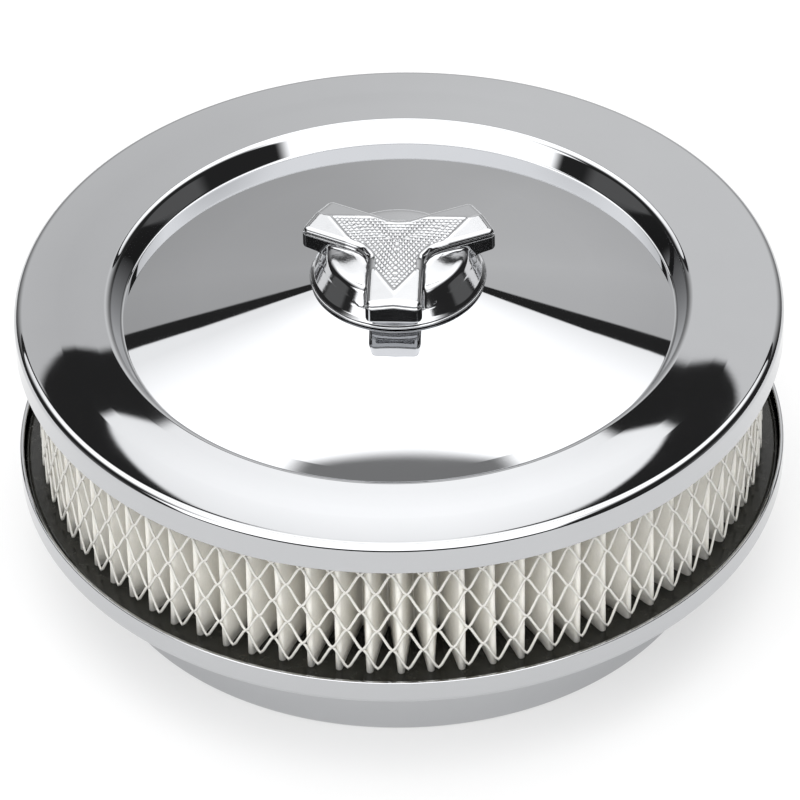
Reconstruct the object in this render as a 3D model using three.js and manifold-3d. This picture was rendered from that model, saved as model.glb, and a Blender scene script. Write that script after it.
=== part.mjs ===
// Round chrome air filter housing for a four-barrel carburettor, in millimetres, +Z up.
// The origin is the middle of the neck's lower rim, which is what the housing stands on.
// Everything is built round one vertical axis; the tri-bar nut points one arm along -Y.

import * as THREE from 'three';
import { mergeVertices } from 'three/addons/utils/BufferGeometryUtils.js';
import Module from 'manifold-3d';

const wasm = await Module();
wasm.setup();

// ---- Driving dimensions ----

const GAP = 0.3;                 // clearance left between two pieces that touch
const ROUND = 48;                // facets round a large circle
const SMALL_ROUND = 24;          // facets round a small circle

// Pressed sheet
const LID_SHEET = 0.8;
const PAN_SHEET = 0.9;
const COLLAR_SHEET = 0.8;

// Top lid: 6 3/8 in across its flat ring
const LID_RADIUS = 81.6;
const LID_LIP_BOTTOM = 55.5;
const LID_EDGE = 62.35;          // outer corner, where the ring turns down into the lip
const LID_EDGE_BEND = 1.8;
const RING_BREAK = 78.2;         // the ring lies a little flatter outside this circle
const RING_BREAK_HEIGHT = 62.42;
const RECESS_EDGE = 61.6;        // where the ring turns down into the recess
const RECESS_EDGE_HEIGHT = 63.44;
const RECESS_EDGE_BEND = 4.5;
const RECESS_FOOT = 58.1;        // where the recess wall meets the coned floor
const RECESS_FOOT_HEIGHT = 59.27;
const RECESS_FOOT_BEND = 4.0;
const CONE_KNEE = 46.0;          // the cone is a little steeper outside this circle
const CONE_KNEE_HEIGHT = 62.22;
const CONE_TOP_RADIUS = 14.5;    // the cone's top, hidden under the nut's flange
const CONE_TOP = 69.49;
const LID_PAD_RADIUS = 11.0;     // flat dimple that seats the washer
const LID_PAD = 67.6;
const STUD_HOLE = 3.6;

// Base pan
const PAN_RADIUS = 82.0;
const PAN_FLOOR = 20.3;          // underside
const PAN_LIP_TOP = 26.1;
const PAN_HOLE = 57.0;
const PAN_HOLE_FLANGE_TOP = 24.2;
const PAN_HOLE_BEND = 1.5;
const PAN_RIM_BEND = 1.6;

// Neck collar: fits a 5 1/8 in carburettor air horn
const COLLAR_RADIUS = 66.8;
const COLLAR_BORE = 65.2;
const COLLAR_HEM = 6.0;
const COLLAR_FLANGE = 74.0;
const COLLAR_BEND = 1.5;
const GASKET_THICKNESS = 1.6;
const GASKET_INNER = 58.6;
const GASKET_CLEARANCE = 0.4;    // between the gasket's edge and the collar

// Filter element
const SCREEN_RADIUS = 77.3;
const SCREEN_THICKNESS = 0.6;
const INNER_SCREEN_RADIUS = 59.4;
const SEAL_HEIGHT = 3.6;
const BOTTOM_SEAL_OUTER = 80.8;
const BOTTOM_SEAL_INNER = 58.3;
const BOTTOM_SEAL_CHAMFER = 1.2; // clears the bend of the pan's rim
const TOP_SEAL_BOTTOM = 56.0;
const TOP_SEAL_OUTER = 80.2;
const TOP_SEAL_INNER = 58.4;
const TOP_SEAL_CROWN = [[80.2, 60.8], [72.0, 61.6], [64.0, 62.2], [62.4, 61.8], [59.6, 58.0]];
const PLEATS = 75;
const PLEAT_TIP = 76.4;
const PLEAT_ROOT = 60.4;
const PLEAT_WALL = 3.5;          // the paper's thickness measured along the radius
const CLIP_HALF_WIDTH = 0.7;
const CLIP_WALL = 0.45;
const CLIP_DEPTH = 5.0;          // along the radius
const CLIP_BACK = 0.7;           // thickness of the fold between its two legs
const CLIP_STAND_OFF = 0.8;      // from the paper's inner circle
const CLIP_END = 0.5;            // from the element's lower and upper end

// Centre stud, 1/4 in, 20 threads to the inch
const STUD_RADIUS = 3.175;
const STUD_BOTTOM = 2.0;
const STUD_TOP = 75.0;
const STUD_CHAMFER = 0.8;

// Tri-bar wing nut
const NUT_TOP = 78.3;
const ARM_THICKNESS = 6.2;
const ARM_LENGTH = 20.7;
const ARM_HALF_WIDTH = 5.95;
const ARM_FILLET = 6.0;          // hollow between two arms
const ARM_CORNER = 1.6;          // rounding of an arm's tip
const ARM_BEVEL = 0.8;
const FLANGE_RADIUS = 18.7;
const FLANGE_BOTTOM = 68.85;
const FLANGE_RIM = 0.7;
const FLANGE_HOLLOW_RADIUS = 13.0;
const FLANGE_HOLLOW = 70.2;      // the underside clears the cone's top
const BELL_FOOT = [14.0, 70.2, 2.4];      // radius, height and bend
const BELL_SHOULDER = [11.7, 75.5, 3.2];
const HUB_RADIUS = 7.9;
const HUB_TOP = 76.3;            // inside the arms
const CURVE_STEPS = 5;           // facets of each round corner of the arms
const BEVEL_STEPS = 2;
const BOSS_RADIUS = 9.4;         // presses on the washer
const NUT_BORE = 5.8;
const NUT_BORE_TOP = 76.2;
const WASHER_OUTER = 9.0;
const WASHER_THICKNESS = 1.0;
const INSERT_OUTER = 5.5;
const INSERT_BORE = 3.5;

// Heights that follow from the ones above
const panFloorTop = PAN_FLOOR + PAN_SHEET;
const collarTop = PAN_FLOOR - GAP;
const bottomSealBottom = panFloorTop + GAP;
const bottomSealTop = bottomSealBottom + SEAL_HEIGHT;
const elementBottom = bottomSealTop + GAP;
const elementTop = TOP_SEAL_BOTTOM - GAP;
const washerBottom = LID_PAD + GAP;
const washerTop = washerBottom + WASHER_THICKNESS;
const bossBottom = washerTop + GAP;

// ---- Materials ----

const finish = (color, roughness, metalness) =>
  () => new THREE.MeshStandardMaterial({ color, roughness, metalness });

const chrome = finish('#d9dbdc', 0.06, 1.0);
const zincPlate = finish('#a9aaa6', 0.35, 1.0);
const brass = finish('#b8923f', 0.3, 1.0);
const paper = finish('#d8d0b8', 0.95, 0.0);
const coatedWire = finish('#dcd9cf', 0.45, 0.0);
const seal = finish('#1f1f1c', 0.35, 0.0);
const gasketFibre = finish('#4a463c', 0.9, 0.0);

// ---- Outlines, as [radius, height] ----

// Rounds the corners of an open line: a corner is [radius, height, bend], and each bend is
// an arc that touches both of its straight sides.
function rounded(corners, stepsPerBend = 2) {
  const line = [];
  corners.forEach(([r, z, bend], i) => {
    if (!bend) {
      line.push(new THREE.Vector2(r, z));
      return;
    }
    const corner = new THREE.Vector2(r, z);
    const back = new THREE.Vector2(...corners[i - 1].slice(0, 2)).sub(corner).normalize();
    const ahead = new THREE.Vector2(...corners[i + 1].slice(0, 2)).sub(corner).normalize();
    const half = Math.acos(THREE.MathUtils.clamp(back.dot(ahead), -1, 1)) / 2;
    const reach = bend / Math.tan(half);
    const middle = back.clone().add(ahead).normalize();
    const centre = corner.clone().addScaledVector(middle, bend / Math.sin(half));
    const from = corner.clone().addScaledVector(back, reach).sub(centre);
    const to = corner.clone().addScaledVector(ahead, reach).sub(centre);
    const sweep = Math.atan2(from.cross(to), from.dot(to));
    for (let step = 0; step <= stepsPerBend; step++) {
      const turned = from.clone().rotateAround(new THREE.Vector2(), sweep * step / stepsPerBend);
      line.push(turned.add(centre));
    }
  });
  return line;
}

// Gives an open line a thickness to its left, and closes it into one outline.
function sheet(line, thickness) {
  const offset = line.map((point, i) => {
    const before = line[Math.max(i - 1, 0)];
    const after = line[Math.min(i + 1, line.length - 1)];
    const inward = new THREE.Vector2().subVectors(point, before);
    const outward = new THREE.Vector2().subVectors(after, point);
    if (inward.lengthSq() === 0) inward.copy(outward);
    if (outward.lengthSq() === 0) outward.copy(inward);
    inward.normalize();
    outward.normalize();
    const along = inward.clone().add(outward).normalize();
    const mitre = thickness / along.dot(outward);
    return new THREE.Vector2(point.x - along.y * mitre, point.y + along.x * mitre);
  });
  return [...line, ...offset.reverse()];
}

const toVectors = (outline) => outline.map(([r, z]) => new THREE.Vector2(r, z));

const ringOutline = (inner, outer, bottom, top) =>
  toVectors([[inner, bottom], [outer, bottom], [outer, top], [inner, top]]);

// ---- Solids ----

// Turns a closed outline, anticlockwise in radius and height, about the vertical axis.
function turned(outline, facets = ROUND) {
  const geometry = new THREE.LatheGeometry([...outline, outline[0].clone()], facets);
  return geometry.rotateX(Math.PI / 2);
}

// Turns a line that starts and ends on the axis.
function turnedOnAxis(line) {
  return new THREE.LatheGeometry(line, SMALL_ROUND).rotateX(Math.PI / 2);
}

function toManifold(geometry) {
  const bare = geometry.clone();
  bare.deleteAttribute('normal');
  bare.deleteAttribute('uv');
  const merged = mergeVertices(bare, 1e-4);
  const corners = [];
  const index = merged.index.array;
  for (let i = 0; i < index.length; i += 3) {
    const [a, b, c] = [index[i], index[i + 1], index[i + 2]];
    if (a !== b && b !== c && c !== a) corners.push(a, b, c);
  }
  return new wasm.Manifold(new wasm.Mesh({
    numProp: 3,
    vertProperties: new Float32Array(merged.attributes.position.array),
    triVerts: new Uint32Array(corners),
  }));
}

function fromManifold(solid) {
  const mesh = solid.getMesh();
  const geometry = new THREE.BufferGeometry();
  geometry.setAttribute('position', new THREE.BufferAttribute(mesh.vertProperties, 3));
  geometry.setIndex(new THREE.BufferAttribute(mesh.triVerts, 1));
  geometry.computeVertexNormals();
  return geometry;
}

// ---- Pressed sheet parts ----

function topLid() {
  const top = rounded([
    [LID_RADIUS, LID_LIP_BOTTOM],
    [LID_RADIUS, LID_EDGE, LID_EDGE_BEND],
    [RING_BREAK, RING_BREAK_HEIGHT],
    [RECESS_EDGE, RECESS_EDGE_HEIGHT, RECESS_EDGE_BEND],
    [RECESS_FOOT, RECESS_FOOT_HEIGHT, RECESS_FOOT_BEND],
    [CONE_KNEE, CONE_KNEE_HEIGHT],
    [CONE_TOP_RADIUS, CONE_TOP],
    [LID_PAD_RADIUS, LID_PAD],
    [STUD_HOLE, LID_PAD],
  ]);
  return turned(sheet(top, LID_SHEET));
}

function basePan() {
  const underside = rounded([
    [PAN_HOLE, PAN_HOLE_FLANGE_TOP],
    [PAN_HOLE, PAN_FLOOR, PAN_HOLE_BEND],
    [PAN_RADIUS, PAN_FLOOR, PAN_RIM_BEND],
    [PAN_RADIUS, PAN_LIP_TOP],
  ]);
  return turned(sheet(underside, PAN_SHEET));
}

// A straight wall with a flange turned out at the top, where it is welded under the pan, and
// a hem folded in at the bottom.
function neckCollar() {
  const inside = COLLAR_RADIUS - COLLAR_SHEET;
  const flangeBottom = collarTop - COLLAR_SHEET;
  const outer = rounded([
    [COLLAR_RADIUS, 0],
    [COLLAR_RADIUS, flangeBottom, COLLAR_BEND],
    [COLLAR_FLANGE, flangeBottom],
  ]);
  const inner = rounded([
    [COLLAR_FLANGE, collarTop],
    [inside, collarTop, COLLAR_BEND + COLLAR_SHEET],
    [inside, COLLAR_HEM],
    [COLLAR_BORE, COLLAR_HEM],
    [COLLAR_BORE, 0],
  ]);
  return turned([...outer, ...inner]);
}

function carburettorGasket() {
  const outer = COLLAR_RADIUS - COLLAR_SHEET - GASKET_CLEARANCE;
  return turned(ringOutline(GASKET_INNER, outer, collarTop - GASKET_THICKNESS, collarTop));
}

// ---- Filter element ----

function bottomSeal() {
  return turned(toVectors([
    [BOTTOM_SEAL_INNER, bottomSealBottom],
    [BOTTOM_SEAL_OUTER - BOTTOM_SEAL_CHAMFER, bottomSealBottom],
    [BOTTOM_SEAL_OUTER, bottomSealBottom + BOTTOM_SEAL_CHAMFER],
    [BOTTOM_SEAL_OUTER, bottomSealTop],
    [BOTTOM_SEAL_INNER, bottomSealTop],
  ]));
}

// The upper seal fills the ring under the lid and stops short of the recess wall.
function topSeal() {
  const crownFoot = TOP_SEAL_CROWN[TOP_SEAL_CROWN.length - 1];
  return turned(toVectors([
    [TOP_SEAL_INNER, TOP_SEAL_BOTTOM],
    [TOP_SEAL_OUTER, TOP_SEAL_BOTTOM],
    ...TOP_SEAL_CROWN,
    [TOP_SEAL_INNER, crownFoot[1]],
  ]));
}

const outerScreen = () => turned(ringOutline(
  SCREEN_RADIUS - SCREEN_THICKNESS, SCREEN_RADIUS, elementBottom, elementTop));

const innerScreen = () => turned(ringOutline(
  INNER_SCREEN_RADIUS, INNER_SCREEN_RADIUS + SCREEN_THICKNESS, elementBottom, elementTop));

// One closed zigzag of paper. A pleat's tip lies on the outer circle and its root half a
// pitch further round on the inner one.
function zigzag(tipRadius, rootRadius) {
  const points = [];
  const halfPitch = Math.PI / PLEATS;
  for (let fold = 0; fold < 2 * PLEATS; fold++) {
    const angle = Math.PI / 2 + fold * halfPitch;
    const radius = fold % 2 === 0 ? tipRadius : rootRadius;
    points.push(new THREE.Vector2(radius * Math.cos(angle), radius * Math.sin(angle)));
  }
  return points;
}

function pleatedPaper() {
  const shape = new THREE.Shape(zigzag(PLEAT_TIP, PLEAT_ROOT + PLEAT_WALL));
  shape.holes.push(new THREE.Path(zigzag(PLEAT_TIP - PLEAT_WALL, PLEAT_ROOT)));
  const depth = elementTop - elementBottom;
  return new THREE.ExtrudeGeometry(shape, { depth, bevelEnabled: false })
    .translate(0, 0, elementBottom);
}

// A folded steel strip that grips the two raw ends of the paper, in the valley at the back.
function seamClip() {
  const half = CLIP_HALF_WIDTH;
  const slot = CLIP_HALF_WIDTH - CLIP_WALL;
  const inner = PLEAT_ROOT + CLIP_STAND_OFF;
  const fold = inner + CLIP_BACK;
  const outer = inner + CLIP_DEPTH;
  const outline = new THREE.Shape(toVectors([
    [-half, inner], [half, inner], [half, outer], [slot, outer],
    [slot, fold], [-slot, fold], [-slot, outer], [-half, outer],
  ]));
  const depth = elementTop - elementBottom - 2 * CLIP_END;
  return new THREE.ExtrudeGeometry(outline, { depth, bevelEnabled: false })
    .translate(0, 0, elementBottom + CLIP_END);
}

// ---- Stud, washer and nut ----

function centreStud() {
  const tip = STUD_RADIUS - STUD_CHAMFER;
  return turnedOnAxis(toVectors([
    [0, STUD_BOTTOM],
    [tip, STUD_BOTTOM],
    [STUD_RADIUS, STUD_BOTTOM + STUD_CHAMFER],
    [STUD_RADIUS, STUD_TOP - STUD_CHAMFER],
    [tip, STUD_TOP],
    [0, STUD_TOP],
  ]));
}

const sealingWasher = () =>
  turned(ringOutline(STUD_HOLE, WASHER_OUTER, washerBottom, washerTop), SMALL_ROUND);

const threadedInsert = () =>
  turned(ringOutline(INSERT_BORE, INSERT_OUTER, bossBottom + GAP, NUT_BORE_TOP - GAP), SMALL_ROUND);

// Three arms a third of a turn apart: straight sides, rounded tips, and a round hollow
// between each two.
function armOutline() {
  const shape = new THREE.Shape();
  const third = 2 * Math.PI / 3;
  const sideAngle = Math.PI / 3;
  const hollowDistance = (ARM_HALF_WIDTH + ARM_FILLET) / Math.sin(sideAngle);
  const place = (arm, u, v) => {
    const angle = -Math.PI / 2 + arm * third;
    return [
      u * Math.cos(angle) - v * Math.sin(angle),
      u * Math.sin(angle) + v * Math.cos(angle),
    ];
  };
  for (let arm = 0; arm < 3; arm++) {
    const heading = -Math.PI / 2 + arm * third;
    const cornerU = ARM_LENGTH - ARM_CORNER;
    const cornerV = ARM_HALF_WIDTH - ARM_CORNER;
    const right = place(arm, cornerU, -cornerV);
    const left = place(arm, cornerU, cornerV);
    shape.absarc(...right, ARM_CORNER, heading - Math.PI / 2, heading);
    shape.absarc(...left, ARM_CORNER, heading, heading + Math.PI / 2);
    const hollow = heading + sideAngle;
    const centre = [hollowDistance * Math.cos(hollow), hollowDistance * Math.sin(hollow)];
    const start = heading - Math.PI / 2;
    shape.absarc(...centre, ARM_FILLET, start, start - sideAngle, true);
  }
  return shape;
}

function wingNut() {
  const arms = new THREE.ExtrudeGeometry(armOutline(), {
    depth: ARM_THICKNESS - 2 * ARM_BEVEL,
    bevelThickness: ARM_BEVEL,
    bevelSize: ARM_BEVEL,
    bevelOffset: -ARM_BEVEL,
    bevelSegments: BEVEL_STEPS,
    curveSegments: CURVE_STEPS,
  }).translate(0, 0, NUT_TOP - ARM_THICKNESS + ARM_BEVEL);
  const bell = turnedOnAxis(rounded([
    [0, bossBottom],
    [BOSS_RADIUS, bossBottom],
    [BOSS_RADIUS, FLANGE_HOLLOW],
    [FLANGE_HOLLOW_RADIUS, FLANGE_HOLLOW],
    [FLANGE_RADIUS, FLANGE_BOTTOM],
    [FLANGE_RADIUS, FLANGE_BOTTOM + FLANGE_RIM],
    BELL_FOOT,
    BELL_SHOULDER,
    [HUB_RADIUS, HUB_TOP],
    [0, HUB_TOP],
  ]));
  const bore = turnedOnAxis(toVectors([
    [0, FLANGE_BOTTOM],
    [NUT_BORE, FLANGE_BOTTOM],
    [NUT_BORE, NUT_BORE_TOP],
    [0, NUT_BORE_TOP],
  ]));
  return fromManifold(toManifold(arms).add(toManifold(bell)).subtract(toManifold(bore)));
}

// ---- The assembly ----

const airFilterHousing = new THREE.Group();

function addPart(parent, name, geometry, material) {
  const mesh = new THREE.Mesh(geometry, material());
  mesh.name = name;
  parent.add(mesh);
}

const base = new THREE.Group();
addPart(base, 'base_pan', basePan(), chrome);
addPart(base, 'neck_collar', neckCollar(), chrome);
addPart(base, 'carburettor_gasket', carburettorGasket(), gasketFibre);
addPart(base, 'centre_stud', centreStud(), zincPlate);

const element = new THREE.Group();
addPart(element, 'bottom_seal', bottomSeal(), seal);
addPart(element, 'top_seal', topSeal(), seal);
addPart(element, 'outer_screen', outerScreen(), coatedWire);
addPart(element, 'inner_screen', innerScreen(), coatedWire);
addPart(element, 'pleated_paper', pleatedPaper(), paper);
addPart(element, 'seam_clip', seamClip(), zincPlate);

const cover = new THREE.Group();
addPart(cover, 'top_lid', topLid(), chrome);
addPart(cover, 'sealing_washer', sealingWasher(), seal);

const nut = new THREE.Group();
addPart(nut, 'wing_nut', wingNut(), chrome);
addPart(nut, 'threaded_insert', threadedInsert(), brass);

airFilterHousing.add(base, element, cover, nut);

export default airFilterHousing;
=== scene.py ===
"""The finished look of a round chrome air filter housing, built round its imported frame.

Laid out as an add-on: sizes and finishes are property groups, each piece has its own operator,
and one panel in the 3D view's sidebar lists them. Every piece is a surface worked out with
numpy. Lengths inside the shape functions are millimetres; meshes are written in metres.
"""

import bpy
import numpy as np
from bpy.props import FloatProperty, FloatVectorProperty, IntProperty, PointerProperty
from bpy.types import Operator, Panel, PropertyGroup
from mathutils import Matrix, Vector


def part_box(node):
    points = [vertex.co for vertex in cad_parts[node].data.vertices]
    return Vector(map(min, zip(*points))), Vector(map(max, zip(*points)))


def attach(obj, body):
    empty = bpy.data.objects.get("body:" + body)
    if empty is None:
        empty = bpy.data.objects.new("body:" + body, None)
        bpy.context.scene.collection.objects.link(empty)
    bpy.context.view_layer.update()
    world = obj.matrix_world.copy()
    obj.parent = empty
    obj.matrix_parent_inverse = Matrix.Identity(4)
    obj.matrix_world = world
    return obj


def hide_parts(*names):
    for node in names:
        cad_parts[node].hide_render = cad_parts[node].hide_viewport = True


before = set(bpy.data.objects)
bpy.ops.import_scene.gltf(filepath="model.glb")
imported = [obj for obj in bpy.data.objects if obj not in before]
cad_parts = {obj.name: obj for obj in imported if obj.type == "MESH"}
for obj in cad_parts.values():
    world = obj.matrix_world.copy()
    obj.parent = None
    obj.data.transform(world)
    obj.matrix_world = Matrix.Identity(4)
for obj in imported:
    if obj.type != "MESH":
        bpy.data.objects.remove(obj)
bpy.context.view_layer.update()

bl_info = {
    "name": "Chrome Air Filter Housing",
    "version": (1, 0, 0),
    "blender": (4, 5, 0),
    "location": "View3D > Sidebar > Air Filter",
    "description": "Builds a round chrome air filter housing",
    "category": "Add Mesh",
}

MM = 0.001


def node_size(node):
    """Lowest and highest corner of a frame node, in millimetres."""
    low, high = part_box(node)
    return np.array(low) / MM, np.array(high) / MM


LID_LOW, LID_HIGH = node_size("top_lid")
PAN_LOW, PAN_HIGH = node_size("base_pan")
COLLAR_LOW, COLLAR_HIGH = node_size("neck_collar")
GASKET_LOW, GASKET_HIGH = node_size("carburettor_gasket")
STUD_LOW, STUD_HIGH = node_size("centre_stud")
LOWER_SEAL_LOW, LOWER_SEAL_HIGH = node_size("bottom_seal")
UPPER_SEAL_LOW, UPPER_SEAL_HIGH = node_size("top_seal")
SCREEN_HIGH = node_size("outer_screen")[1]
INNER_SCREEN_HIGH = node_size("inner_screen")[1]
CLIP_LOW, CLIP_HIGH = node_size("seam_clip")
WASHER_LOW, WASHER_HIGH = node_size("sealing_washer")
NUT_LOW, NUT_HIGH = node_size("wing_nut")
INSERT_LOW, INSERT_HIGH = node_size("threaded_insert")

ROUND = 288  # steps round a large circle
SMALL_ROUND = 96  # steps round a small circle
BEND_STEP = 5.0  # degrees
SUPPORT = 0.12  # a point this close to each bend
TIGHTEST_BEND = 0.1  # where the sheet is too thick for more


# ---- Sizes and finishes that a user would change ----


def length(name, default, description):
    return FloatProperty(name=name, description=description, default=default * MM,
                         min=0.0, unit="LENGTH", precision=5)


def angle(name, degrees, description):
    return FloatProperty(name=name, description=description, default=np.radians(degrees),
                         subtype="ANGLE")


def number(name, default, description):
    return FloatProperty(name=name, description=description, default=default, min=0.0)


def count(name, default, description):
    return IntProperty(name=name, description=description, default=default, min=20, max=150)


def colour(name, default, description):
    return FloatVectorProperty(name=name, description=description, default=default,
                               subtype="COLOR", size=3, min=0.0, max=1.0)


class AirFilterSizes(PropertyGroup):
    lid_sheet: length("Lid sheet", 0.8, "Thickness of the lid's steel")
    lid_edge_bend: length("Lid edge bend", 1.8, "Bend between ring and lip")
    pan_sheet: length("Pan sheet", 0.9, "Thickness of the pan's steel")
    collar_sheet: length("Collar sheet", 0.8, "Thickness of the collar's steel")
    pleats: count("Pleats", 75, "Folds of paper round the element")
    paper_thickness: length("Paper", 0.55, "Thickness of the filter paper")
    diamonds: count("Diamonds", 77, "Openings round a screen")
    diamond_height: length("Diamond height", 10.1, "Height of one opening")
    strand_width: length("Strand width", 0.62, "Width of one strand")
    thread_pitch: length("Thread pitch", 1.27, "Twenty threads to the inch")
    stipple_pitch: length("Stipple pitch", 1.0, "Between two pebbles")


class AirFilterFinishes(PropertyGroup):
    chrome: colour("Chrome", (0.50, 0.506, 0.518), "Plating")
    zinc: colour("Zinc", (0.58, 0.57, 0.53), "Plated stud and clip")
    brass: colour("Brass", (0.72, 0.50, 0.22), "Threaded insert")
    paper: colour("Paper", (0.87, 0.85, 0.79), "Filter paper")
    strand: colour("Strand", (0.69, 0.68, 0.64), "Coating of the screens")
    seal: colour("Seal", (0.012, 0.012, 0.010), "Moulded seals")
    gasket: colour("Gasket", (0.07, 0.06, 0.05), "Fibre gasket")
    floor: colour("Floor", (0.42, 0.42, 0.42), "Studio floor")


class AirFilterStudio(PropertyGroup):
    distance: length("Distance", 1570.0, "From camera to lid")
    elevation: angle("Elevation", 38.4, "Camera height above the level")
    turn: angle("Turn", 3.3, "Camera turned round the housing")
    roll: angle("Roll", -1.3, "Camera rolled about its sight")
    lens: number("Lens", 333.4, "Focal length in millimetres")
    aim: length("Aim", 34.8, "Height of the aim point")
    table: number("Table", 0.5, "Light through the floor")
    softbox: number("Softbox", 2.46, "Overhead light")
    wall: number("Wall", 1.0, "Pale wall behind")


def sizes():
    return bpy.context.scene.air_filter_sizes


def finishes():
    return bpy.context.scene.air_filter_finishes


def studio():
    return bpy.context.scene.air_filter_studio


# ---- Outlines in radius and height ----


def unit(vectors):
    """Each vector divided by its own length."""
    return vectors / np.linalg.norm(vectors, axis=-1, keepdims=True)


def rounded(corners, closed=True, step=BEND_STEP):
    """Rounds the corners [x, y, bend] of a line: an arc touches both straight sides, with
    one extra point just before and after it where there is room."""
    corners = [tuple(corner) + (0.0,) * (3 - len(corner)) for corner in corners]
    count = len(corners)
    line = []
    for i, (x, y, bend) in enumerate(corners):
        corner = np.array([x, y])
        inner = closed or 0 < i < count - 1
        if not (inner and bend > 0):
            line.append(corner[None, :])
            continue
        before = np.array(corners[i - 1][:2]) - corner
        after = np.array(corners[(i + 1) % count][:2]) - corner
        back, ahead = unit(before), unit(after)
        half = np.arccos(np.clip(back @ ahead, -1, 1)) / 2
        reach = bend / np.tan(half)
        centre = corner + unit(back + ahead) * bend / np.sin(half)
        start = corner + back * reach - centre
        end = corner + ahead * reach - centre
        sweep = np.arctan2(start[0] * end[1] - start[1] * end[0], start @ end)
        steps = max(2, int(np.ceil(np.degrees(abs(sweep)) / step)))
        angle = np.linspace(0, sweep, steps + 1)[:, None]
        arc = centre + np.cos(angle) * start + np.sin(angle) * [-start[1], start[0]]
        if np.linalg.norm(before) > reach + 3 * SUPPORT:
            line.append((corner + back * (reach + SUPPORT))[None, :])
        line.append(arc)
        if np.linalg.norm(after) > reach + 3 * SUPPORT:
            line.append((corner + ahead * (reach + SUPPORT))[None, :])
    return np.concatenate(line)


def sheet(corners, thickness, edge):
    """A closed outline of pressed sheet: the line of corners and the same line moved to its
    left by the thickness, with bends changed by as much and both cut ends rounded."""
    corners = [tuple(corner) + (0.0,) * (3 - len(corner)) for corner in corners]
    points = np.array([corner[:2] for corner in corners])
    legs = unit(np.diff(points, axis=0))
    before = np.vstack([legs[:1], legs])
    after = np.vstack([legs, legs[-1:]])
    along = unit(before + after)
    mitre = thickness / (along * after).sum(1)
    moved = points + np.stack([-along[:, 1], along[:, 0]], 1) * mitre[:, None]
    turn = before[:, 0] * after[:, 1] - before[:, 1] * after[:, 0]
    bends = [corner[2] for corner in corners]
    far = [max(bend - np.sign(side) * thickness, TIGHTEST_BEND) if bend else 0.0
           for bend, side in zip(bends, turn)]
    bends[0] = bends[-1] = far[0] = far[-1] = edge
    near_side = [(*p, bend) for p, bend in zip(points, bends)]
    far_side = [(*p, bend) for p, bend in zip(moved, far)]
    return rounded(near_side + far_side[::-1])


def ring_section(inner, outer, bottom, top, bend):
    return rounded([(inner, bottom, bend), (outer, bottom, bend),
                    (outer, top, bend), (inner, top, bend)])


# ---- Meshes ----


def grid_faces(rows, columns, closed_rows):
    """Quads between the rows and columns of a grid whose columns run round and close."""
    row = np.arange(rows if closed_rows else rows - 1)[:, None]
    column = np.arange(columns)[None, :]
    above = (row + 1) % rows
    beside = (column + 1) % columns
    corners = [row * columns + column, row * columns + beside,
               above * columns + beside, above * columns + column]
    return np.stack(corners, -1).reshape(-1, 4)


def fan_faces(pole, first, columns):
    """Triangles from one pole point to a ring of points."""
    column = np.arange(columns)
    beside = (column + 1) % columns
    return np.stack([np.full(columns, pole), first + beside, first + column], -1)


def facing_out(points, quads, triangles):
    """Turns all faces over if the volume they enclose comes out negative."""
    halves = [quads[:, [0, 1, 2]], quads[:, [0, 2, 3]], triangles]
    faces = np.concatenate(halves)
    a, b, c = (points[faces[:, k]] for k in range(3))
    if np.einsum("ij,ij->i", a, np.cross(b, c)).sum() < 0:
        return quads[:, ::-1], triangles[:, ::-1]
    return quads, triangles


def linked(name, data):
    obj = bpy.data.objects.new(name, data)
    bpy.context.scene.collection.objects.link(obj)
    return obj


def piece(name, shells, material, body, slot, *nodes):
    """One object from closed shells: grids [rows, columns, 3] in millimetres that close in
    both directions, or run from one pole point to another."""
    all_points, all_faces, start = [], [], 0
    for grid, poles in shells:
        rows, columns = grid.shape[:2]
        points = grid.reshape(-1, 3)
        quads = grid_faces(rows, columns, poles is None)
        triangles = np.empty((0, 3), int)
        if poles is not None:
            points = np.vstack([points, np.asarray(poles, float)])
            low = fan_faces(rows * columns, 0, columns)
            high = fan_faces(rows * columns + 1, (rows - 1) * columns, columns)[:, ::-1]
            triangles = np.concatenate([low, high])
        quads, triangles = facing_out(points, quads, triangles)
        all_faces += (quads + start).tolist() + (triangles + start).tolist()
        all_points.append(points)
        start += len(points)
    mesh = bpy.data.meshes.new(name)
    mesh.from_pydata((np.vstack(all_points) * MM).tolist(), [], all_faces)
    mesh.shade_smooth()
    mesh.materials.append(material)
    obj = linked(name, mesh)
    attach(obj, body)
    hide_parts(*nodes)
    return obj


def round_steps(count):
    """The angles of even steps round a circle."""
    return np.linspace(0, 2 * np.pi, count, endpoint=False)


def round_axis(radius, height, angle):
    """Points at a radius and a height, carried round the vertical axis."""
    return np.stack([radius * np.cos(angle), radius * np.sin(angle), height + 0 * angle], -1)


def turned(outline, steps=ROUND):
    """A closed outline [radius, height] turned about the vertical axis."""
    return round_axis(outline[:, :1], outline[:, 1:], round_steps(steps))


def smooth(value, low, high):
    """0 below low, 1 above high, and a smooth S between them."""
    t = np.clip((value - low) / (high - low), 0, 1)
    return t * t * (3 - 2 * t)


# ---- Materials ----

MICRON = 0.000001
NOISE_LOW = 0.3  # most noise lies between these
NOISE_HIGH = 0.7


def rgba(value, factor=1.0):
    return (*[min(channel * factor, 1.0) for channel in value], 1.0)


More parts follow.
